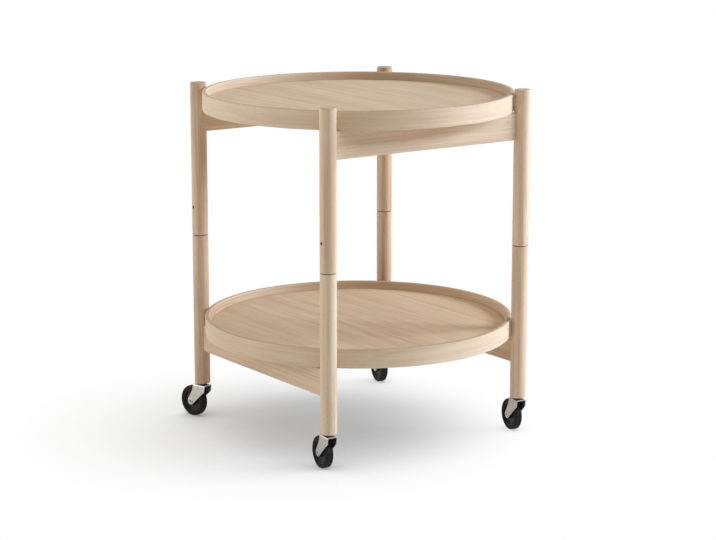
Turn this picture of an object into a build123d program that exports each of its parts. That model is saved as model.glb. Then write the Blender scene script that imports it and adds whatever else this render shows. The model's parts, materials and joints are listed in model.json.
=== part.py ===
from build123d import *
import math
import os

# A serving trolley in pale beech, in millimetres. Two round reversible trays rest on
# crossed rails between four round legs. Every leg is cut in two at mid height and turns
# there on a steel pin, so the frame folds flat once the trays are lifted out. The upper
# rails run along X and join the upper leg halves, the lower rails run along Y and join
# the lower halves. Four swivel casters stand in the leg ends.
# The origin is on the floor under the middle of the trays, and +Z is up.

# Trays
tray_diameter = 482.0
tray_height = 29.0
rim_land = 6.0              # flat top of the rim, and the same below
rim_root = 10.0             # rim thickness where its inner wall meets the panel
rim_cove = 1.8              # hollow between the inner wall and the panel
rim_lip = 0.5               # small upright edge of the rim above the panel
rim_edge_round = 1.4
panel_thickness = 4.0
tongue_thickness = 3.0      # the panel's edge is thinned to a tongue, which fits the rim's groove
panel_groove = 4.5          # depth of that groove behind the rim's inner wall
floor_gap = 0.2             # fine line between the tray's floor and the rim

# Legs
leg_diameter = 25.0
leg_length = 485.0          # both halves with the seam between them
leg_top_round = 1.6
leg_foot_chamfer = 0.8
seam_chamfer = 0.5
tray_to_leg = 0.9           # radial gap between a seated tray and the legs
upper_tray_drop = 6.5       # the leg tops stand this much above the upper tray
lower_rail_rise = 96.0      # top of the lower rails above the leg ends

# Rails
rail_height = 42.0
rail_thickness = 8.0
rail_edge_round = 1.5
tenon_thickness = 5.0
tenon_height = 30.0
tenon_depth = 10.5
tenon_overlap = 3.0
upper_rail_setback = 3.0    # middle of the upper rails, inward of the legs' axes

# Leg pivots
seam_washer_diameter = 21.0
seam_washer_thickness = 1.0
pin_diameter = 8.0
pin_below = 35.0            # pin length in the lower half, where it is fixed
pin_above = 60.0            # pin length in the upper half, which turns on it
pin_end_chamfer = 0.6
pin_groove_depth = 1.0
pin_groove_width = 3.6
screw_rise = 45.0           # retaining screw above the middle of the seam
screw_diameter = 5.0
screw_recess = 1.6
screw_tip_diameter = 3.0
screw_end_gap = 1.0         # from the pin to the screw's full thickness
screw_tip_gap = 0.2         # from the screw's tip to the floor of the pin's groove
hex_key = 2.5
hex_depth = 2.6

# Casters
wheel_diameter = 49.5
wheel_width = 12.0
tyre_thickness = 6.0
tyre_shoulder = 2.6
hub_rim_thickness = 2.4
hub_rim_inset = 0.8         # hub rim below the tyre's side
hub_web_thickness = 5.0
hub_boss_diameter = 14.0
hub_boss_proud = 0.6        # boss beyond the tyre's side
wheel_side_gap = 1.0
wheel_top_gap = 3.5
caster_trail = 19.5
axle_diameter = 6.0
axle_hole_diameter = 3.0
axle_head_diameter = 8.6
axle_head_height = 0.9
fork_thickness = 1.5
fork_bend = 1.2             # inner radius of the folded plate
fork_front = 12.0           # plate ahead of the stem
fork_rear = 13.7            # plate behind the stem
fork_front_drop = 11.0      # upright part of the arm's front edge
fork_rear_drop = 10.5       # upright part of the arm's rear edge
fork_lean = 1.5             # how far those edges lean back
fork_tip_radius = 6.3
stem_diameter = 8.0
stem_length = 33.0
stem_head_diameter = 13.0
stem_head_height = 2.0
stem_groove_depth = 0.7
stem_groove_width = 2.4
stem_groove_below_top = 6.0
socket_diameter = 11.0
socket_length = 36.0
socket_flange_diameter = 17.0
socket_flange_thickness = 1.0
thrust_washer_diameter = 15.0
thrust_washer_thickness = 1.9

# Clearances
glue_gap = 0.1              # around tenons, panels and pressed-in pieces
running_gap = 0.06          # radial, where one piece turns on another
swivel_gap = 0.2            # above and below the fork plate
cope_gap = 0.05
hole_bottom_gap = 1.0

# How far a cutting shape runs past the face that it cuts through
overshoot = 1.0

# Trailing direction of each caster, in degrees from +Y towards +X
caster_heading = {"front": 7.0, "right": 11.0, "back": 12.0, "left": -14.0}
corners = {"front": (-1, -1), "right": (1, -1), "back": (1, 1), "left": (-1, 1)}

# Sizes that follow from the ones above
tray_radius = tray_diameter / 2
leg_radius = leg_diameter / 2
pin_radius = pin_diameter / 2
wheel_radius = wheel_diameter / 2
half_width = wheel_width / 2
axle_radius = axle_diameter / 2
stem_radius = stem_diameter / 2
leg_offset = (tray_radius + tray_to_leg + leg_radius) / math.sqrt(2)
lip_radius = tray_radius - rim_root - rim_cove / 3

plate_bottom = wheel_diameter + wheel_top_gap
plate_top = plate_bottom + fork_thickness
leg_bottom = plate_top + swivel_gap + thrust_washer_thickness + socket_flange_thickness
leg_top = leg_bottom + leg_length
seam_z = (leg_bottom + leg_top) / 2
seam_low = seam_z - seam_washer_thickness / 2
seam_high = seam_z + seam_washer_thickness / 2
upper_rail_top = leg_top - upper_tray_drop - tray_height
lower_rail_top = leg_bottom + lower_rail_rise
screw_z = seam_z + screw_rise


def rod(radius, low, high):
    """An upright cylinder on the Z axis."""
    return Pos(0, 0, (low + high) / 2) * Cylinder(radius, high - low)


def ring(outer, inner, low, high):
    """An upright tube on the Z axis."""
    return rod(outer, low, high) - rod(inner, low - overshoot, high + overshoot)


def at_corner(corner, piece):
    side_x, side_y = corners[corner]
    return Pos(side_x * leg_offset, side_y * leg_offset, 0) * piece


def mortise(toward_x, toward_y, rail_top):
    """The slot for a rail's tenon, cut into a leg from the side the rail comes from."""
    depth = tenon_depth + hole_bottom_gap
    reach = leg_radius + overshoot
    middle = (reach + leg_radius - depth) / 2
    length = reach - leg_radius + depth
    width = tenon_thickness + 2 * glue_gap
    size_x = length if toward_x else width
    size_y = length if toward_y else width
    slot = Box(size_x, size_y, tenon_height + 2 * glue_gap)
    return Pos(toward_x * middle, toward_y * middle, rail_top - rail_height / 2) * slot


def upper_leg(corner):
    side_x, side_y = corners[corner]
    leg = rod(leg_radius, seam_high, leg_top)
    leg = fillet(leg.edges().sort_by(Axis.Z)[-1], leg_top_round)
    leg = chamfer(leg.edges().sort_by(Axis.Z)[0], seam_chamfer)
    leg -= rod(pin_radius + running_gap, seam_high - overshoot, seam_z + pin_above + hole_bottom_gap)
    screw_hole = rod(screw_diameter / 2 + glue_gap, pin_radius / 2, leg_radius + overshoot)
    leg -= Pos(0, 0, screw_z) * Rot(0, side_x * 90, 0) * screw_hole
    leg -= Pos(0, -side_y * upper_rail_setback, 0) * mortise(-side_x, 0, upper_rail_top)
    return at_corner(corner, leg)


def lower_leg(corner):
    _, side_y = corners[corner]
    leg = rod(leg_radius, leg_bottom, seam_low)
    leg = chamfer(leg.edges().sort_by(Axis.Z)[-1], seam_chamfer)
    leg = chamfer(leg.edges().sort_by(Axis.Z)[0], leg_foot_chamfer)
    leg -= rod(pin_radius + glue_gap, seam_z - pin_below - hole_bottom_gap, seam_low + overshoot)
    socket_end = leg_bottom + socket_length + hole_bottom_gap
    leg -= rod(socket_diameter / 2 + glue_gap, leg_bottom - overshoot, socket_end)
    leg -= mortise(0, -side_y, lower_rail_top)
    return at_corner(corner, leg)


def pivot_pin(corner):
    pin = rod(pin_radius, seam_z - pin_below, seam_z + pin_above)
    ends = pin.edges().filter_by(GeomType.CIRCLE)
    pin = chamfer(ends, pin_end_chamfer)
    groove_low = screw_z - pin_groove_width / 2
    groove_high = screw_z + pin_groove_width / 2
    pin -= ring(pin_radius + overshoot, pin_radius - pin_groove_depth, groove_low, groove_high)
    return at_corner(corner, pin)


def seam_washer(corner):
    hole = pin_radius + glue_gap
    return at_corner(corner, ring(seam_washer_diameter / 2, hole, seam_low, seam_high))


def retaining_screw(corner):
    """A socket screw across the upper leg half, whose tip runs in the pin's groove."""
    side_x, _ = corners[corner]
    outer_end = leg_radius - screw_recess
    inner_end = pin_radius + screw_end_gap
    tip_end = pin_radius - pin_groove_depth + screw_tip_gap
    screw = rod(screw_diameter / 2, inner_end, outer_end)
    screw += rod(screw_tip_diameter / 2, tip_end, inner_end + overshoot)
    hexagon = RegularPolygon(hex_key / 2, 6, major_radius=False)
    screw -= Pos(0, 0, outer_end - hex_depth) * extrude(hexagon, hex_depth + overshoot)
    return at_corner(corner, Pos(0, 0, screw_z) * Rot(0, side_x * 90, 0) * screw)


def rail(setback=0.0):
    """A rail along X between two legs, shifted towards +Y, with a tenon at each coped end."""
    piece = Box(2 * leg_offset, rail_thickness, rail_height)
    piece = Pos(0, setback, 0) * fillet(piece.edges().filter_by(Axis.X), rail_edge_round)
    start = leg_offset - leg_radius - tenon_overlap
    end = leg_offset - leg_radius + tenon_depth
    for side in (-1, 1):
        piece -= Pos(side * leg_offset, 0, 0) * Cylinder(leg_radius + cope_gap, 2 * rail_height)
        tenon = Box(end - start, tenon_thickness, tenon_height)
        piece += Pos(side * (start + end) / 2, setback, 0) * tenon
    return piece


def upper_rail(side_y):
    middle = upper_rail_top - rail_height / 2
    inward = Rot(0, 0, 90 * (1 + side_y))
    return Pos(0, side_y * leg_offset, middle) * inward * rail(upper_rail_setback)


def lower_rail(side_x):
    middle = lower_rail_top - rail_height / 2
    return Pos(side_x * leg_offset, 0, middle) * Rot(0, 0, 90) * rail()


def half_rim_wall(outward):
    """The rim's inner wall on one face of the panel, from the land to the panel's groove."""
    middle = tray_height / 2
    lip_top = panel_thickness / 2 + rim_lip
    groove_face = tongue_thickness / 2 + glue_gap
    land_radius = tray_radius - rim_land
    root_radius = tray_radius - rim_root
    cove_top = lip_top + rim_cove
    cove_share = cove_top / middle
    cove_radius = root_radius + (land_radius - root_radius) * cove_share
    return [
        (land_radius, middle + outward * middle),
        (cove_radius, middle + outward * cove_top),
        (lip_radius, middle + outward * lip_top),
        (lip_radius, middle + outward * groove_face),
        (root_radius + panel_groove, middle + outward * groove_face),
    ]


def tray_rim(base):
    """A ring turned about Z. Its section is the same above and below the panel."""
    land_top, cove_top, lip_top, lip_foot, groove_top = half_rim_wall(1)
    land_low, cove_low, lip_low, lip_head, groove_low = half_rim_wall(-1)
    bend = rim_cove * 0.3
    mid_top = ((cove_top[0] + lip_top[0]) / 2 + bend / 2, (cove_top[1] + lip_top[1]) / 2 - bend)
    mid_low = (mid_top[0], tray_height - mid_top[1])
    outline = [
        Line((tray_radius, 0), (tray_radius, tray_height)),
        Line((tray_radius, tray_height), land_top),
        Line(land_top, cove_top),
        ThreePointArc(cove_top, mid_top, lip_top),
        Polyline(lip_top, lip_foot, groove_top, groove_low, lip_head, lip_low),
        ThreePointArc(lip_low, mid_low, cove_low),
        Line(cove_low, land_low),
        Line(land_low, (tray_radius, 0)),
    ]
    section = make_face(outline)
    rim = revolve(Plane.XZ * section, Axis.Z)
    circles = rim.edges().filter_by(GeomType.CIRCLE)
    edges = circles.group_by(Axis.Z)[0] + circles.group_by(Axis.Z)[-1]
    return Pos(0, 0, base) * fillet(edges, rim_edge_round)


def tray_panel(base):
    """A round board with a thinner tongue round its edge."""
    middle = base + tray_height / 2
    tongue_radius = tray_radius - rim_root + panel_groove - glue_gap
    board = rod(lip_radius - floor_gap, middle - panel_thickness / 2, middle + panel_thickness / 2)
    return board + rod(tongue_radius, middle - tongue_thickness / 2, middle + tongue_thickness / 2)


def at_caster(corner, piece):
    """Places a piece made with the stem on the Z axis and the wheel behind it, along +Y."""
    return at_corner(corner, Rot(0, 0, -caster_heading[corner]) * piece)


def across_wheel(piece):
    """Lays a piece made along Z across the caster, at the wheel's centre."""
    return Pos(0, caster_trail, wheel_radius) * Rot(0, 90, 0) * piece


def caster_socket(corner):
    socket = rod(socket_diameter / 2, leg_bottom - socket_flange_thickness, leg_bottom + socket_length)
    socket += rod(socket_flange_diameter / 2, leg_bottom - socket_flange_thickness, leg_bottom)
    bore_top = leg_bottom + stem_length + hole_bottom_gap
    socket -= rod(stem_radius + glue_gap, leg_bottom - socket_flange_thickness - overshoot, bore_top)
    return at_corner(corner, socket)


def caster_stem(corner):
    head_top = plate_bottom - swivel_gap
    top = leg_bottom + stem_length
    stem = rod(stem_radius, head_top - stem_head_height, top)
    stem = chamfer(stem.edges().sort_by(Axis.Z)[-1], stem_radius / 4)
    head = rod(stem_head_diameter / 2, head_top - stem_head_height, head_top)
    stem += fillet(head.edges().sort_by(Axis.Z)[0], stem_head_height * 0.6)
    groove_high = top - stem_groove_below_top
    groove_low = groove_high - stem_groove_width
    stem -= ring(stem_radius + overshoot, stem_radius - stem_groove_depth, groove_low, groove_high)
    return at_corner(corner, stem)


def thrust_washer(corner):
    low = plate_top + swivel_gap
    washer = ring(thrust_washer_diameter / 2, stem_radius + glue_gap, low, low + thrust_washer_thickness)
    return at_corner(corner, washer)


def tangent_point(point, centre, radius, side):
    """Where a line from the point touches the circle, on one side of it, and the angle there."""
    away_x = point[0] - centre[0]
    away_y = point[1] - centre[1]
    spread = math.acos(radius / math.hypot(away_x, away_y))
    angle = math.atan2(away_y, away_x) + side * spread
    return on_circle(centre, radius, angle), angle


def on_circle(centre, radius, angle):
    return (centre[0] + radius * math.cos(angle), centre[1] + radius * math.sin(angle))


def fork_side():
    """The arm's outline seen from the side: upright at the plate, then sloping back to a round tip."""
    axle = (caster_trail, wheel_radius)
    front_low = (-fork_front + fork_lean, plate_top - fork_front_drop)
    rear_low = (fork_rear + fork_lean, plate_top - fork_rear_drop)
    lower, lower_angle = tangent_point(front_low, axle, fork_tip_radius, 1)
    upper, upper_angle = tangent_point(rear_low, axle, fork_tip_radius, -1)
    tip = on_circle(axle, fork_tip_radius, (lower_angle + upper_angle + 2 * math.pi) / 2)
    outline = [
        Polyline((fork_rear, plate_top), (-fork_front, plate_top), front_low, lower),
        ThreePointArc(lower, tip, upper),
        Polyline(upper, rear_low, (fork_rear, plate_top)),
    ]
    return Plane.YZ * make_face(outline)


def folded_plate(width, top, bend_radius, length):
    """A block whose two long top edges are rounded, as the fork is folded over it."""
    low = wheel_radius - fork_tip_radius - overshoot
    block = Pos(0, 0, (low + top) / 2) * Box(width, length, top - low)
    edges = block.edges().filter_by(Axis.Y).group_by(Axis.Z)[-1]
    return fillet(edges, bend_radius)


def caster_fork(corner):
    inside = wheel_width + 2 * wheel_side_gap
    outside = inside + 2 * fork_thickness
    length = 2 * (fork_front + fork_rear + caster_trail + fork_tip_radius)
    channel = folded_plate(outside, plate_top, fork_bend + fork_thickness, length)
    channel -= folded_plate(inside, plate_bottom, fork_bend, length + overshoot)
    fork = channel & extrude(fork_side(), outside, both=True)
    fork -= rod(stem_radius + running_gap, plate_bottom - overshoot, plate_top + overshoot)
    fork -= across_wheel(rod(axle_radius + cope_gap, -outside, outside))
    return at_caster(corner, fork)


def caster_axle(corner):
    """A hollow rivet through both arms, with a flat head outside each."""
    arm_face = half_width + wheel_side_gap + fork_thickness
    end = arm_face + axle_head_height
    axle = rod(axle_radius, -end, end)
    for low, high in ((-end, -arm_face), (arm_face, end)):
        axle += rod(axle_head_diameter / 2, low, high)
    rims = axle.edges().filter_by(GeomType.CIRCLE).group_by(Axis.Z)
    axle = chamfer(rims[0] + rims[-1], axle_head_height / 3)
    axle -= rod(axle_hole_diameter / 2, -end - overshoot, end + overshoot)
    return at_caster(corner, across_wheel(axle))


def wheel_hub(corner):
    rim_outer = wheel_radius - tyre_thickness - glue_gap
    rim_half = half_width - hub_rim_inset
    boss_half = half_width + hub_boss_proud
    web_half = hub_web_thickness / 2
    hub = ring(rim_outer, rim_outer - hub_rim_thickness, -rim_half, rim_half)
    hub += rod(rim_outer - hub_rim_thickness / 2, -web_half, web_half)
    hub += rod(hub_boss_diameter / 2, -boss_half, boss_half)
    hub -= rod(axle_radius + running_gap, -boss_half - overshoot, boss_half + overshoot)
    return at_caster(corner, across_wheel(hub))


def wheel_tyre(corner):
    tyre = rod(wheel_radius, -half_width, half_width)
    tyre = fillet(tyre.edges().filter_by(GeomType.CIRCLE), tyre_shoulder)
    tyre -= rod(wheel_radius - tyre_thickness, -wheel_width, wheel_width)
    return at_caster(corner, across_wheel(tyre))


def build_nodes():
    nodes = {
        "upper_tray_rim": tray_rim(upper_rail_top),
        "upper_tray_panel": tray_panel(upper_rail_top),
        "lower_tray_rim": tray_rim(lower_rail_top),
        "lower_tray_panel": tray_panel(lower_rail_top),
        "upper_rail_front": upper_rail(-1),
        "upper_rail_back": upper_rail(1),
        "lower_rail_left": lower_rail(-1),
        "lower_rail_right": lower_rail(1),
    }
    makers = {
        "upper_leg": upper_leg,
        "lower_leg": lower_leg,
        "pivot_pin": pivot_pin,
        "seam_washer": seam_washer,
        "retaining_screw": retaining_screw,
        "caster_socket": caster_socket,
        "caster_stem": caster_stem,
        "thrust_washer": thrust_washer,
        "caster_fork": caster_fork,
        "caster_axle": caster_axle,
        "wheel_hub": wheel_hub,
        "wheel_tyre": wheel_tyre,
    }
    for corner in corners:
        for name, make in makers.items():
            nodes[f"{name}_{corner}"] = make(corner)
    return nodes


os.makedirs("parts", exist_ok=True)
for node, shape in build_nodes().items():
    export_step(shape, f"parts/{node}.step")
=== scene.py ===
import json
import math

import bmesh
import bpy
from mathutils import Matrix, Vector


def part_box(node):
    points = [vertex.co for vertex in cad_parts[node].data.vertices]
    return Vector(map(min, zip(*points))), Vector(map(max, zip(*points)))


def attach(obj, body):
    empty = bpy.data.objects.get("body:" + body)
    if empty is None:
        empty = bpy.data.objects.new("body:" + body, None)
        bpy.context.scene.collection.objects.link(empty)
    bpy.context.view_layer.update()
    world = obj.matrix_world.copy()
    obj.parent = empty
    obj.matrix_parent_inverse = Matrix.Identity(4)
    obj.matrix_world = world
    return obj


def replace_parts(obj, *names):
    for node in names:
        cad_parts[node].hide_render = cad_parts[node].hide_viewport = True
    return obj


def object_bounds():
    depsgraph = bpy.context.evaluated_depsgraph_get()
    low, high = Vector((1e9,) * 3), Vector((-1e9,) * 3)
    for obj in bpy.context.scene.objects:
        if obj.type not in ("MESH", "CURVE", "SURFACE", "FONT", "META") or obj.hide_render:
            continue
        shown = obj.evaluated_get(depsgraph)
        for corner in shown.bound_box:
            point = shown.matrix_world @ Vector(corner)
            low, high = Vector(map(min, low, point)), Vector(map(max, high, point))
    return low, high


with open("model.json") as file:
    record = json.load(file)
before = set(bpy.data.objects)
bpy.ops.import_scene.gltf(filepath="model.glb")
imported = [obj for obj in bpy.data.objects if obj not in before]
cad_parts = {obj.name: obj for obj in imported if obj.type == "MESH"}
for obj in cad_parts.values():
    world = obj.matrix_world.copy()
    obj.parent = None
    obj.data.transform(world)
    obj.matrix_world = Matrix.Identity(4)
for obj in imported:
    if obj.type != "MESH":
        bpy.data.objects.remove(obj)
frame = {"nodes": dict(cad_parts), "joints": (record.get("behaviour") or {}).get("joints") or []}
cad_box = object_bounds()
nodes = frame["nodes"]
joints = {joint["name"]: joint for joint in frame["joints"]}
CORNERS = ("front", "right", "back", "left")

# Camera, in metres and degrees. The yaw turns from +Y towards +X.
CAMERA_PLACE = (-1.9256, -2.7373, 0.9619)
CAMERA_YAW = 35.118
CAMERA_PITCH_DOWN = 11.986
CAMERA_LENS = 109.416

# Light. A direction points from the trolley towards a lamp, in degrees from +X towards +Y. The level is
# what a white surface that faces the lamp shows.
KEY_DIRECTION = -31.0
KEY_HEIGHT_ANGLE = 21.0
KEY_DISTANCE = 4.0
KEY_SIZE = (1.8, 0.98)
KEY_LEVEL = 1.02
KEY_TINT = (0.85, 1.0, 1.30)
FILL_DIRECTION = 150.0
FILL_HEIGHT_ANGLE = 15.0
FILL_DISTANCE = 3.0
FILL_SIZE = (3.4, 1.5)
FILL_LEVEL = 0.46
FILL_TINT = (0.93, 1.0, 1.10)
# The sky's level falls from high to low away from where it is brightest
SKY_LOW_LEVEL = 0.03
SKY_HIGH_LEVEL = 0.95
SKY_BRIGHTEST = (0.38, 0.0, 0.925)
SKY_TINT = (1.06, 1.0, 0.88, 1)


class Graph:
    """Adds nodes to one tree. A socket given as a value is linked, and anything else is set."""

    def __init__(self, tree):
        self.tree = tree

    def give(self, socket, value):
        if isinstance(value, bpy.types.NodeSocket):
            self.tree.links.new(value, socket)
        else:
            socket.default_value = value

    def put(self, kind, inputs=None, output=0, **settings):
        node = self.tree.nodes.new(kind)
        for name, value in settings.items():
            setattr(node, name, value)
        for name, value in (inputs or {}).items():
            self.give(node.inputs[name], value)
        return node.outputs[output]

    def math(self, operation, *values):
        return self.put("ShaderNodeMath", dict(enumerate(values)), operation=operation)

    def add(self, *values):
        total = values[0]
        for value in values[1:]:
            total = self.math("ADD", total, value)
        return total

    def times(self, *values):
        total = values[0]
        for value in values[1:]:
            total = self.math("MULTIPLY", total, value)
        return total

    def length(self, first, second):
        return self.math("SQRT", self.add(self.times(first, first), self.times(second, second)))

    def vector_times(self, vector, factors):
        return self.put("ShaderNodeVectorMath", {0: vector, 1: factors}, operation="MULTIPLY")

    def vector_add(self, vector, offset):
        return self.put("ShaderNodeVectorMath", {0: vector, 1: offset}, operation="ADD")

    def join(self, x, y, z):
        return self.put("ShaderNodeCombineXYZ", {0: x, 1: y, 2: z})

    def split(self, vector):
        x = self.put("ShaderNodeSeparateXYZ", {0: vector})
        return x, x.node.outputs[1], x.node.outputs[2]

    def place(self):
        return self.put("ShaderNodeTexCoord", output="Object")

    def noise(self, vector, scale=1.0, detail=2.0, roughness=0.5, output="Fac"):
        inputs = {"Vector": vector, "Scale": scale, "Detail": detail, "Roughness": roughness}
        return self.put("ShaderNodeTexNoise", inputs, output)

    def random(self, value):
        """A number from 0 to 1 that is the same wherever the value is."""
        return self.put("ShaderNodeTexWhiteNoise", {"W": value}, noise_dimensions="1D")

    def rise(self, value, low, high, bottom=0.0, top=1.0):
        """Goes smoothly from bottom to top as the value goes from low to high."""
        inputs = {"Value": value, "From Min": low, "From Max": high, "To Min": bottom, "To Max": top}
        return self.put("ShaderNodeMapRange", inputs, interpolation_type="SMOOTHSTEP")

    def mix(self, factor, first, second):
        node = self.tree.nodes.new("ShaderNodeMix")
        node.data_type = "RGBA"
        for socket, value in ((node.inputs["Factor"], factor), (node.inputs[6], first),
                              (node.inputs[7], second)):
            self.give(socket, value)
        return node.outputs[2]

    def bump(self, height, distance, strength=1.0):
        inputs = {"Height": height, "Distance": distance, "Strength": strength}
        return self.put("ShaderNodeBump", inputs)

    def looking(self):
        """1 for rays from the camera or from a reflection, 0 for those that light the trolley."""
        ray = self.put("ShaderNodeLightPath").node.outputs
        mirrored = self.math("MAXIMUM", ray["Is Glossy Ray"], ray["Is Transmission Ray"])
        return self.math("MAXIMUM", ray["Is Camera Ray"], mirrored)

    def surface(self, **inputs):
        """Ends the tree with a shader. An input's name has _ for each space."""
        named = {name.replace("_", " "): value for name, value in inputs.items()}
        self.show(self.put("ShaderNodeBsdfPrincipled", named))

    def show(self, shader, kind="ShaderNodeOutputMaterial"):
        self.give(self.tree.nodes.new(kind).inputs["Surface"], shader)


def paint(red, green, blue):
    """The linear colour of screen values from 0 to 255."""
    shares = [value / 255 for value in (red, green, blue)]
    return (*(s / 12.92 if s < 0.04045 else ((s + 0.055) / 1.055) ** 2.4 for s in shares), 1)


def new_material(name):
    material = bpy.data.materials.new(name)
    material.use_nodes = True
    material.node_tree.nodes.clear()
    return material, Graph(material.node_tree)


def dress(names, material):
    for name in names:
        piece = nodes[name]
        piece.data.materials.clear()
        piece.data.materials.append(material)


# Beech. The group's Place has the grain along its third axis, and Pith is where the tree's centre
# crosses the other two. A scale says how fast a layer changes across the board, deep in it and along it.
RING_PITCH = 0.0023
PITH_REACH = 0.08
SEED_SHIFT = (17.3, 9.1, 5.7)
DRIFT_SCALE = (5.0, 5.0, 2.0)
DRIFT_WIDTH = 0.030
RIPPLE_SCALE = (70.0, 70.0, 9.0)
UNEVEN_SCALE = 90.0
RAY_SIZE = (0.0013, 0.014, 0.006)
FIBRE_SCALE = (900.0, 900.0, 16.0)
LINE_SCALE = (300.0, 300.0, 5.0)
STREAK_SCALE = (60.0, 60.0, 3.2)
CLOUD_SCALE = (9.0, 9.0, 3.0)
WARM_SCALE = (14.0, 14.0, 1.4)
BASE_DEPTH = 0.08
RELIEF = 0.00012
LOOKS_UP = (0.75, 0.95)
END_ROUGHNESS = 0.95
PALE_BEECH = paint(222, 198, 165)
DEEP_BEECH = paint(178, 141, 102)
WARM_BEECH = paint(214, 178, 134)
RAY_BROWN = paint(156, 114, 78)
END_GRAIN_AND_SHADE_BROWN = paint(128, 88, 56)


def beech_grain():
    tree = bpy.data.node_groups.new("beech_grain", "ShaderNodeTree")
    for name, kind in (("Place", "Vector"), ("Pith", "Vector"), ("Seed", "Float"), ("Tone", "Float"),
                       ("Figure", "Float")):
        tree.interface.new_socket(name, in_out="INPUT", socket_type="NodeSocket" + kind)
    for name, kind in (("Color", "Color"), ("Roughness", "Float"), ("Height", "Float")):
        tree.interface.new_socket(name, in_out="OUTPUT", socket_type="NodeSocket" + kind)
    g = Graph(tree)
    given = g.tree.nodes.new("NodeGroupInput").outputs
    place, pith, seed = given["Place"], given["Pith"], given["Seed"]
    shifted = g.vector_add(place, g.vector_times(g.join(seed, seed, seed), SEED_SHIFT))

    # Growth rings round the pith, which wanders along the board
    drift = g.noise(g.vector_times(shifted, DRIFT_SCALE), detail=1.0, output="Color")
    drift = g.vector_times(g.vector_add(drift, (-0.5, -0.5, -0.5)), (DRIFT_WIDTH, DRIFT_WIDTH, 0))
    across, deep, along = g.split(g.vector_add(place, drift))
    pith_across, pith_deep, _ = g.split(pith)
    across = g.math("SUBTRACT", across, pith_across)
    deep = g.math("SUBTRACT", deep, pith_deep)
    radius = g.length(across, deep)
    ripple = g.noise(g.vector_times(shifted, RIPPLE_SCALE))
    uneven = g.noise(g.join(g.times(radius, UNEVEN_SCALE), seed, 0.0), detail=1.0)
    phase = g.add(g.times(radius, 1 / RING_PITCH), g.times(ripple, 0.5), g.times(uneven, 2.6))
    share = g.math("FRACT", phase)
    late = g.times(g.rise(share, 0.25, 0.90), g.rise(share, 1.0, 0.93))
    strength = g.random(g.add(g.math("FLOOR", phase), seed))
    late = g.times(late, g.rise(strength, 0.0, 1.0, 0.25, 1.0))

    # Rays: short brown flecks that lie along the grain and point at the pith
    round_pith = g.times(g.math("ARCTAN2", across, deep), PITH_REACH)
    rays = g.join(g.times(round_pith, 1 / RAY_SIZE[0]), g.times(radius, 1 / RAY_SIZE[1]),
                  g.times(along, 1 / RAY_SIZE[2]))
    rays = g.vector_add(rays, g.join(seed, 0.0, seed))
    cells = g.put("ShaderNodeTexVoronoi", {"Vector": rays, "Scale": 1.0}, "Distance").node
    kept = g.rise(g.split(cells.outputs["Color"])[0], 0.35, 0.75)
    fleck = g.times(g.rise(cells.outputs["Distance"], 0.30, 0.12), kept)

    fibre = g.noise(g.vector_times(shifted, FIBRE_SCALE), detail=3.0, roughness=0.6)
    line = g.noise(g.vector_times(shifted, LINE_SCALE), detail=2.0)
    streak = g.noise(g.vector_times(shifted, STREAK_SCALE), detail=3.0, roughness=0.5)
    cloud = g.noise(g.vector_times(shifted, CLOUD_SCALE))
    warm = g.noise(g.vector_times(shifted, WARM_SCALE), detail=1.0)

    figure = g.add(g.times(late, 0.16), g.rise(line, 0.3, 0.7, -0.07, 0.10),
                   g.rise(streak, 0.35, 0.75, -0.06, 0.26))
    depth = g.add(g.times(figure, given["Figure"]), g.rise(fibre, 0.3, 0.8, -0.10, 0.20),
                  g.rise(cloud, 0.3, 0.7, -0.06, 0.16), given["Tone"], BASE_DEPTH)
    colour = g.mix(g.math("MAXIMUM", depth, 0.0), PALE_BEECH, DEEP_BEECH)
    colour = g.mix(g.times(fleck, 0.30), colour, RAY_BROWN)
    colour = g.mix(g.rise(warm, 0.3, 0.75, 0.0, 0.16), colour, WARM_BEECH)

    out = tree.nodes.new("NodeGroupOutput").inputs
    g.give(out["Color"], colour)
    g.give(out["Roughness"], g.add(g.rise(fibre, 0.2, 0.8, 0.55, 0.66), g.times(late, 0.05)))
    g.give(out["Height"], g.add(g.times(fibre, 0.6), g.times(late, 0.25), g.times(fleck, -0.35)))
    return tree


GRAIN = beech_grain()


def beech(name, seed, pith, vector, tone, figure, end_grain_and_painted_shade=0.0, gloss=0.5, sheen=0.3):
    """Beech for one piece. vector(graph, seed) gives the place in the board, with the seed to use there.
    tone is how much deeper in colour the piece is, as a number or as tone(graph); on the legs it is partly
    painted shading, and on the rims' inner walls painted shade. figure is how strong its grain is, and
    end_grain_and_painted_shade how much deeper its faces are that look up or down: end grain on the legs,
    painted shade on the rims."""
    material, g = new_material(name)
    place, seed = vector(g, seed)
    grain = g.put("ShaderNodeGroup", {}, node_tree=GRAIN).node
    g.give(grain.inputs["Place"], place)
    g.give(grain.inputs["Pith"], pith)
    g.give(grain.inputs["Seed"], seed)
    g.give(grain.inputs["Tone"], tone(g) if callable(tone) else tone)
    g.give(grain.inputs["Figure"], figure)
    colour, roughness = grain.outputs["Color"], grain.outputs["Roughness"]
    # Faces that look up or down turn deeper brown: end grain on the legs, painted shade on the rims.
    if end_grain_and_painted_shade:
        upward = g.math("ABSOLUTE", g.split(g.put("ShaderNodeTexCoord", output="Normal"))[2])
        colour = g.mix(g.rise(upward, *LOOKS_UP, 0.0, end_grain_and_painted_shade), colour, END_GRAIN_AND_SHADE_BROWN)
        roughness = g.math("MAXIMUM", roughness, g.rise(upward, *LOOKS_UP, 0.0, END_ROUGHNESS))
    g.surface(Base_Color=colour, Roughness=roughness, Specular_IOR_Level=gloss, Sheen_Weight=sheen,
              Sheen_Roughness=0.25, Normal=g.bump(grain.outputs["Height"], RELIEF, 0.6))
    return material


def board(order):
    """A straight board, whose order says which axes are across, deep and along the grain."""
    def vector(g, seed):
        place = dict(zip("xyz", g.split(g.place())))
        return g.join(*(place[axis] for axis in order)), seed
    return vector


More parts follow.
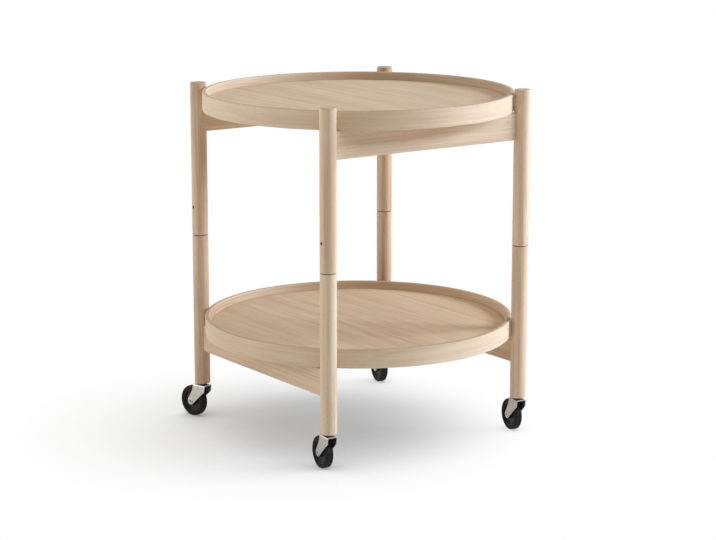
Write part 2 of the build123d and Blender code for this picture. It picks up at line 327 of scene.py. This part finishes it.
def bent_rim(radius, scarf_direction, scarf_slope):
    """A strip bent round the Z axis, which begins and ends at a slanted joint."""
    def vector(g, seed):
        x, y, z = g.split(g.place())
        aside, ahead = scarf_direction
        past = g.add(g.times(x, -ahead), g.times(y, aside))
        towards = g.add(g.times(x, -aside), g.times(y, -ahead))
        turn = g.add(g.math("ARCTAN2", past, towards), g.times(z, scarf_slope))
        turn = g.math("WRAP", turn, math.pi, -math.pi)
        return g.join(g.length(x, y), z, g.times(turn, radius)), seed
    return vector


def rim_tone_and_painted_shade(radius, outside):
    """Tone of a rim, with painted shade: its inner wall is made deeper in colour than the rest."""
    def tone(g):
        x, y, _ = g.split(g.place())
        land = radius - RIM_LAND
        # Painted shade on the inner wall
        return g.rise(g.length(x, y), land - LAND_EDGE, land, outside + INNER_WALL_PAINTED_SHADE, outside)
    return tone


def veneer(start, width):
    """Leaves side by side along X, every other one turned over, with their grain along Y."""
    def vector(g, seed):
        x, y, z = g.split(g.place())
        leaf = g.times(g.add(x, start), 1 / width)
        number = g.math("FLOOR", leaf)
        inside = g.times(g.add(g.math("FRACT", leaf), -0.5), width)
        side = g.add(g.times(g.math("PINGPONG", number, 1.0), 2.0), -1.0)
        moved = g.times(g.add(g.random(g.add(number, seed)), -0.5), LEAF_SHIFT)
        own_seed = g.add(g.times(g.random(g.add(number, seed + 0.5)), LEAF_SEED_RANGE), seed)
        return g.join(g.add(g.times(inside, side), moved), z, y), own_seed
    return vector


# Wooden pieces. A tone is how much deeper in colour a piece is, a figure how strong its grain is, and a brown
# how much deeper the ends and edges are that look up or down: end grain on the legs, painted shade along the
# rims' top and bottom faces. Lengths are in metres.
# The legs' tones are partly painted shading: the back and left legs are deeper as painted shade, and the
# front leg is paler as painted light.
LEG_TONE_AND_PAINTED_SHADING = {"front": -0.18, "right": -0.04, "back": 0.38, "left": 0.24}
RIM_LAND = 0.006
LAND_EDGE = 0.0012
# Painted shade: the rims' inner walls are made deeper in colour than their outer faces.
INNER_WALL_PAINTED_SHADE = 0.34
LEG_PITH_DISTANCE = 0.07
LEG_PITH_TURN = 2.4
RAIL_PITH = (-0.02, -0.07)
RIM_PITH_INWARD = 0.05
PANEL_PITH_BELOW = 0.012
SCARF_DIRECTION = (0.5736, 0.8192)
SCARF_SLOPE = 6.0
LEAF_WIDTH = 0.125
LEAF_START = 0.35
LEAF_START_STEP = 0.02
LEAF_SHIFT = 0.05
LEAF_SEED_RANGE = 0.35
LEG_FIGURE = 1.5
RAIL_FIGURE = 1.2
RIM_FIGURE = 0.7
PANEL_FIGURE = 0.9
PANEL_GLOSS = 0.12
PANEL_SHEEN = 0.1
LEG_END_BROWN = 0.42
# Painted shade: the rims' faces that look up or down are made deeper, which darkens the rims' top edge.
RIM_FACE_PAINTED_SHADE = 0.35

for number, corner in enumerate(CORNERS):
    for half, shift in (("upper", 1.0), ("lower", 5.0)):
        name = f"{half}_leg_{corner}"
        seed = number + shift
        centre = sum(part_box(name), Vector()) / 2
        turn = LEG_PITH_TURN * seed
        pith = centre + LEG_PITH_DISTANCE * Vector((math.cos(turn), math.sin(turn), 0.0))
        dress([name], beech(f"beech_{name}", seed, pith, board("xyz"), LEG_TONE_AND_PAINTED_SHADING[corner], LEG_FIGURE,
                            LEG_END_BROWN))

for name, seed, order, tone in (
        ("upper_rail_front", 21.0, "yzx", 0.05), ("upper_rail_back", 22.0, "yzx", 0.1),
        ("lower_rail_left", 23.0, "xzy", 0.12), ("lower_rail_right", 24.0, "xzy", 0.25)):
    centre = sum(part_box(name), Vector()) / 2
    pith = (getattr(centre, order[0]) + RAIL_PITH[0], centre.z + RAIL_PITH[1], 0.0)
    dress([name], beech(f"beech_{name}", seed, pith, board(order), tone, RAIL_FIGURE))

for level, seed, outer_tone, tone in (("upper", 31.0, -0.10, 0.0), ("lower", 37.0, -0.02, 0.06)):
    low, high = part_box(f"{level}_tray_rim")
    pith = (high.x - RIM_PITH_INWARD, (low.z + high.z) / 2, 0.0)
    strip = bent_rim(high.x, SCARF_DIRECTION, SCARF_SLOPE)
    dress([f"{level}_tray_rim"], beech(f"beech_{level}_rim", seed, pith, strip,
                                     rim_tone_and_painted_shade(high.x, outer_tone), RIM_FIGURE, RIM_FACE_PAINTED_SHADE))
    low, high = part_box(f"{level}_tray_panel")
    leaves = veneer(LEAF_START + LEAF_START_STEP * seed, LEAF_WIDTH)
    pith = (0.0, low.z - PANEL_PITH_BELOW, 0.0)
    dress([f"{level}_tray_panel"], beech(f"beech_{level}_panel", seed + 2, pith, leaves, tone, PANEL_FIGURE,
                                         gloss=PANEL_GLOSS, sheen=PANEL_SHEEN))


def metal(name, light, dark, roughness, scale=220.0):
    material, g = new_material(name)
    cloud = g.noise(g.place(), scale, detail=3.0)
    fine = g.noise(g.place(), scale * 16)
    rough = g.add(g.rise(cloud, 0.3, 0.7, roughness - 0.06, roughness + 0.08),
                  g.rise(fine, 0.3, 0.7, -0.03, 0.05))
    g.surface(Base_Color=g.mix(g.rise(cloud, 0.3, 0.7), light, dark), Metallic=1.0, Roughness=rough,
              Normal=g.bump(fine, 0.00004, 0.4))
    return material


def plastic(name, light, dark, roughness, gloss, scale=1500.0):
    material, g = new_material(name)
    cloud = g.noise(g.place(), scale * 0.1, detail=3.0)
    fine = g.noise(g.place(), scale)
    rough = g.rise(fine, 0.3, 0.7, roughness - 0.05, roughness + 0.08)
    g.surface(Base_Color=g.mix(g.rise(cloud, 0.35, 0.7), light, dark), Roughness=rough,
              Specular_IOR_Level=gloss, Normal=g.bump(fine, 0.00005, 0.5))
    return material


# Metals and plastics. The light and the dark colour cloud into each other.
zinc = metal("zinc_plate", paint(198, 191, 182), paint(172, 166, 158), 0.36)
bright = metal("bright_steel", paint(200, 200, 200), paint(160, 160, 162), 0.22)
# Partly painted shade: the thrust washers and sockets are a dark brownish steel, like the shade in the gap
# under each leg.
gap_shade_metal = metal("dark_steel", paint(92, 84, 76), paint(60, 54, 49), 0.38)
screw_metal = metal("screw_steel", paint(150, 130, 106), paint(112, 95, 76), 0.34)
nylon = plastic("black_nylon", paint(25, 21, 18), paint(16, 13, 12), 0.45, 0.25)
rubber = plastic("tyre_rubber", paint(31, 26, 23), paint(20, 17, 15), 0.6, 0.16)
# Painted highlight: the seam washers are a lighter brown than their black nylon, for the seam's highlight.
seam_nylon_painted_highlight = plastic("seam_nylon_painted_highlight", paint(62, 48, 37), paint(46, 35, 27), 0.5, 0.2)
for corner in CORNERS:
    dress([f"caster_stem_{corner}"], zinc)
    dress([f"pivot_pin_{corner}"], bright)
    dress([f"retaining_screw_{corner}"], screw_metal)
    # Dark brownish steel here is partly painted shade of the gap under the leg.
    dress([f"caster_socket_{corner}", f"thrust_washer_{corner}"], gap_shade_metal)
    # The seam washers' lighter brown is a painted highlight.
    dress([f"seam_washer_{corner}"], seam_nylon_painted_highlight)

# Casters, with softer edges than the plain nodes have. Outlines are in millimetres, each corner with the
# radius that rounds it. A turned outline gives the distance along the axle, then the one from it.
TYRE = ((-6, 18.75, 0.2), (-6, 19.7, 0.2), (-5.7, 20.0, 0.2), (-5.7, 21.5, 0.2), (-6, 21.8, 0.2),
        (-6, 24.75, 2.5), (-0.3, 24.75, 0), (0, 24.6, 0), (0.3, 24.75, 0), (6, 24.75, 2.5),
        (6, 21.8, 0.2), (5.7, 21.5, 0.2), (5.7, 20.0, 0.2), (6, 19.7, 0.2), (6, 18.75, 0.2))
HUB = ((-6.6, 3.06, 0.2), (-6.6, 7, 0.5), (-2.5, 7.2, 1.2), (-2.5, 16.25, 1.2), (-5.2, 16.4, 0.5),
       (-5.2, 18.65, 0.3), (5.2, 18.65, 0.3), (5.2, 16.4, 0.5), (2.5, 16.25, 1.2), (2.5, 7.2, 1.2),
       (6.6, 7, 0.5), (6.6, 3.06, 0.2))
AXLE = ((-9.4, 1.5, 0.2), (-9.4, 4.3, 0.6), (-8.5, 4.3, 0.1), (-8.5, 3, 0), (8.5, 3, 0), (8.5, 4.3, 0.1),
        (9.4, 4.3, 0.6), (9.4, 1.5, 0.2))
# The fork's arm from the side: distance behind the stem, then height. Its edges would meet at the fourth
# corner, but for the round tip.
FORK_SIDE = ((-12, 54.5, 0), (13.7, 54.5, 0), (15.2, 44, 3), (47.41, -9.16, 6.3), (-10.5, 43.5, 3))
FORK_TIP = (19.5, 24.75)
FORK_TIP_RADIUS = 6.3
FORK_SHEET = 1.5
FORK_HALF_WIDTH = 7.75
FORK_BEND = 1.95
FORK_PLATE = 53.75
FORK_ARM_LOW = 30
FORK_EDGE_ROUNDING = 0.25
STEM_HOLE_RADIUS = 4.06
AXLE_HOLE_RADIUS = 3.05
MILLIMETRE = 0.001


def soften(corners, steps=6):
    """Rounds a closed outline."""
    outline = []
    for number, (across, up, radius) in enumerate(corners):
        here = Vector((across, up))
        before = (Vector(corners[number - 1][:2]) - here).normalized()
        after = (Vector(corners[(number + 1) % len(corners)][:2]) - here).normalized()
        half = before.angle(after) / 2
        middle = here + (before + after).normalized() * radius / math.sin(half)
        start = here + before * radius / math.tan(half) - middle
        end = here + after * radius / math.tan(half) - middle
        turn = math.pi - 2 * half
        for share in [step / steps for step in range(steps + 1)] if radius else [0.0]:
            arm = start * math.sin((1 - share) * turn) + end * math.sin(share * turn)
            outline.append(middle + arm / math.sin(turn))
    return outline


def shaped(name, shape):
    """A smooth mesh in metres from one in millimetres."""
    bmesh.ops.recalc_face_normals(shape, faces=shape.faces)
    mesh = bpy.data.meshes.new(name)
    shape.to_mesh(mesh)
    shape.free()
    mesh.transform(Matrix.Scale(MILLIMETRE, 4))
    return mesh


def turned(name, corners, turns=96):
    """An outline turned about the axle, which lies along X."""
    shape = bmesh.new()
    angles = [2 * math.pi * turn / turns for turn in range(turns)]
    rings = [[shape.verts.new((along, radius * math.cos(a), radius * math.sin(a))) for a in angles]
             for along, radius in soften(corners)]
    for before, ring in zip(rings, rings[1:] + rings[:1]):
        for turn in range(turns):
            shape.faces.new((before[turn - 1], before[turn], ring[turn], ring[turn - 1]))
    return shaped(name, shape)


def rod(name, radius, place):
    shape = bmesh.new()
    bmesh.ops.create_cone(shape, cap_ends=True, segments=64, radius1=radius, radius2=radius,
                          depth=4 * FORK_HALF_WIDTH, matrix=place)
    return shaped(name, shape)


def fork_rows():
    """Points across the sheet and up it, from one arm's tip over the plate to the other's."""
    tip_angles = [math.radians(8 + 9.4 * step) for step in range(13)]
    tip = [FORK_TIP[1] - FORK_TIP_RADIUS * math.cos(angle) for angle in tip_angles]
    bend_low = FORK_PLATE - FORK_BEND
    arm = [(FORK_HALF_WIDTH, height) for height in tip]
    arm += [(FORK_HALF_WIDTH, FORK_ARM_LOW + (bend_low - FORK_ARM_LOW) * step / 16) for step in range(17)]
    for step in range(1, 7):
        angle = math.radians(15 * step)
        arm.append((FORK_HALF_WIDTH - FORK_BEND * (1 - math.cos(angle)),
                    bend_low + FORK_BEND * math.sin(angle)))
    arm.append(((FORK_HALF_WIDTH - FORK_BEND) / 2, FORK_PLATE))
    return arm + [(0.0, FORK_PLATE)] + [(-aside, height) for aside, height in reversed(arm)]


def fork_mesh(columns=12):
    """A folded steel sheet with its holes."""
    outline = soften(FORK_SIDE, 24)
    shape = bmesh.new()
    rows = []
    for aside, height in fork_rows():
        crossings = [first.x + (second.x - first.x) * (height - first.y) / (second.y - first.y)
                     for first, second in zip(outline, outline[1:] + outline[:1])
                     if (first.y - height) * (second.y - height) < 0]
        front, rear = min(crossings), max(crossings)
        rows.append([shape.verts.new((aside, front + (rear - front) * column / columns, height))
                     for column in range(columns + 1)])
    for lower, upper in zip(rows, rows[1:]):
        for column in range(columns):
            shape.faces.new((lower[column], lower[column + 1], upper[column + 1], upper[column]))
    sheet = bpy.data.objects.new("fork_sheet", shaped("fork_sheet", shape))
    bpy.context.collection.objects.link(sheet)
    thick = sheet.modifiers.new("thick", "SOLIDIFY")
    thick.thickness = FORK_SHEET * MILLIMETRE
    thick.offset = 0.0
    thick.use_even_offset = True
    edge = sheet.modifiers.new("edge", "BEVEL")
    edge.width = FORK_EDGE_ROUNDING * MILLIMETRE
    edge.segments = 2
    edge.angle_limit = math.radians(40)
    cutters = []
    for name, radius, place in (
            ("stem_hole", STEM_HOLE_RADIUS, Matrix.Translation((0, 0, FORK_PLATE))),
            ("axle_hole", AXLE_HOLE_RADIUS,
             Matrix.Translation((0, *FORK_TIP)) @ Matrix.Rotation(math.pi / 2, 4, "Y"))):
        cutter = bpy.data.objects.new(name, rod(name, radius, place))
        bpy.context.collection.objects.link(cutter)
        cut = sheet.modifiers.new(name, "BOOLEAN")
        cut.object = cutter
        cutters.append(cutter)
    mesh = bpy.data.meshes.new_from_object(sheet.evaluated_get(bpy.context.evaluated_depsgraph_get()))
    for spare in (sheet, *cutters):
        bpy.data.objects.remove(spare)
    return mesh


def caster_piece(kind, corner, node, body, mesh, place, material):
    own = mesh.copy()
    own.transform(place)
    own.materials.clear()
    own.materials.append(material)
    own.shade_smooth()
    own.set_sharp_from_angle(angle=math.radians(32))
    piece = bpy.data.objects.new(f"{kind}_{corner}", own)
    bpy.context.collection.objects.link(piece)
    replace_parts(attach(piece, f"{body}_{corner}"), f"{node}_{corner}")


tyre, hub, axle, fork = turned("tyre", TYRE), turned("hub", HUB), turned("axle", AXLE), fork_mesh()
for corner in CORNERS:
    stem, wheel = joints[f"swivel_{corner}"]["pos_m"], joints[f"wheel_spin_{corner}"]["pos_m"]
    aside = joints[f"wheel_spin_{corner}"]["axis"]
    turn = Matrix.Rotation(math.atan2(aside[1], aside[0]), 4, "Z")
    at_stem = Matrix.Translation((stem[0], stem[1], 0)) @ turn
    at_wheel = Matrix.Translation(wheel) @ turn
    caster_piece("fork", corner, "caster_fork", "caster", fork, at_stem, zinc)
    caster_piece("axle", corner, "caster_axle", "caster", axle, at_wheel, bright)
    caster_piece("hub", corner, "wheel_hub", "wheel", hub, at_wheel, nylon)
    caster_piece("tyre", corner, "wheel_tyre", "wheel", tyre, at_wheel, rubber)

# Floor. Rays that light the trolley meet plain pale paint that also glows a little, which is painted light
# from below. The camera and reflections see white, with a soft grey painted shade from what stands over it, a
# little more painted shade close to the wheels, and a share of the lamps' own shadow. The wide shade and that
# share fade away from a place on the floor, and the wide shade leans to one side.
FADE_CENTRE = (-0.142, 0.076)
FADE_START = 0.15
FADE_END = 0.46
FLOOR_GREY = (0.94, 0.94, 0.94, 1)
# Painted light: the floor's glow lights the trolley from below.
FLOOR_GLOW = 0.14
SHADE_REACH = 0.9
SHADE_FROM = (0.76, -0.40, 0.51)
SHADE_DEEPEST = 0.44
SHADE_OPENNESS = (0.22, 0.95)
CONTACT_REACH = 0.06
CONTACT_DEEPEST = 0.6
CONTACT_OPENNESS = (0.1, 0.9)
LIT_SHARE = 0.15
FLOOR_SIZE = 40.0
WHITE = (1, 1, 1, 1)

bpy.ops.mesh.primitive_plane_add(size=FLOOR_SIZE)
floor = bpy.context.object
floor.name = "floor"
material, g = new_material("floor_paint")
x, y, _ = g.split(g.vector_add(g.place(), (-FADE_CENTRE[0], -FADE_CENTRE[1], 0.0)))
faded = g.rise(g.length(x, y), FADE_START, FADE_END)
open_above = g.put("ShaderNodeAmbientOcclusion", {"Distance": SHADE_REACH, "Normal": SHADE_FROM}, "AO")
shade = g.rise(open_above, *SHADE_OPENNESS, SHADE_DEEPEST, 1.0)
shade = g.add(shade, g.times(faded, g.math("SUBTRACT", 1.0, shade)))
beside = g.put("ShaderNodeAmbientOcclusion", {"Distance": CONTACT_REACH}, "AO")
shade = g.times(shade, g.rise(beside, *CONTACT_OPENNESS, CONTACT_DEEPEST, 1.0))
seen = g.put("ShaderNodeMixShader", {
    0: g.add(g.times(faded, LIT_SHARE), 1.0 - LIT_SHARE),
    1: g.put("ShaderNodeBsdfDiffuse", {"Color": WHITE}),
    2: g.put("ShaderNodeEmission", {"Color": WHITE, "Strength": shade})})
lit = g.put("ShaderNodeAddShader", {
    0: g.put("ShaderNodeBsdfDiffuse", {"Color": FLOOR_GREY}),
    1: g.put("ShaderNodeEmission", {"Color": WHITE, "Strength": FLOOR_GLOW})})
g.show(g.put("ShaderNodeMixShader", {0: g.looking(), 1: lit, 2: seen}))
floor.data.materials.append(material)

# World: white where the camera or a reflection looks past the floor. As light it is a soft, slightly warm
# sky, brightest nearly overhead.
world = bpy.data.worlds.new("studio")
bpy.context.scene.world = world
world.use_nodes = True
world.node_tree.nodes.clear()
g = Graph(world.node_tree)
shown = g.looking()
direction = {0: g.put("ShaderNodeTexCoord", output="Generated"), 1: SKY_BRIGHTEST}
near = g.math("MAXIMUM", g.put("ShaderNodeVectorMath", direction, "Value", operation="DOT_PRODUCT"), 0.0)
level = g.add(g.times(near, near, SKY_HIGH_LEVEL - SKY_LOW_LEVEL), SKY_LOW_LEVEL)
strength = g.put("ShaderNodeMix", {0: shown, 2: level, 3: 1.0})
sky = g.put("ShaderNodeBackground", {"Color": g.mix(shown, SKY_TINT, WHITE), "Strength": strength})
g.show(sky, "ShaderNodeOutputWorld")


def lamp(name, direction, height_angle, distance, size, level, tint):
    """A flat soft lamp aimed at the trolley."""
    turn, lift = math.radians(direction), math.radians(height_angle)
    towards = Vector((math.cos(turn) * math.cos(lift), math.sin(turn) * math.cos(lift), math.sin(lift)))
    data = bpy.data.lights.new(name, "AREA")
    data.shape = "RECTANGLE"
    data.size, data.size_y = size
    data.color = tint
    data.energy = level * (math.pi * distance) ** 2
    thing = bpy.data.objects.new(name, data)
    bpy.context.collection.objects.link(thing)
    middle = sum(cad_box, Vector()) / 2
    thing.location = middle + towards * distance
    thing.rotation_euler = towards.to_track_quat("Z", "Y").to_euler()


lamp("key", KEY_DIRECTION, KEY_HEIGHT_ANGLE, KEY_DISTANCE, KEY_SIZE, KEY_LEVEL, KEY_TINT)
lamp("fill", FILL_DIRECTION, FILL_HEIGHT_ANGLE, FILL_DISTANCE, FILL_SIZE, FILL_LEVEL, FILL_TINT)

camera_data = bpy.data.cameras.new("camera")
camera_data.sensor_width = 36.0
camera_data.lens = CAMERA_LENS
camera = bpy.data.objects.new("camera", camera_data)
bpy.context.collection.objects.link(camera)
camera.location = CAMERA_PLACE
camera.rotation_euler = (math.radians(90 - CAMERA_PITCH_DOWN), 0.0, -math.radians(CAMERA_YAW))
bpy.context.scene.camera = camera
bpy.context.scene.view_settings.view_transform = "Standard"
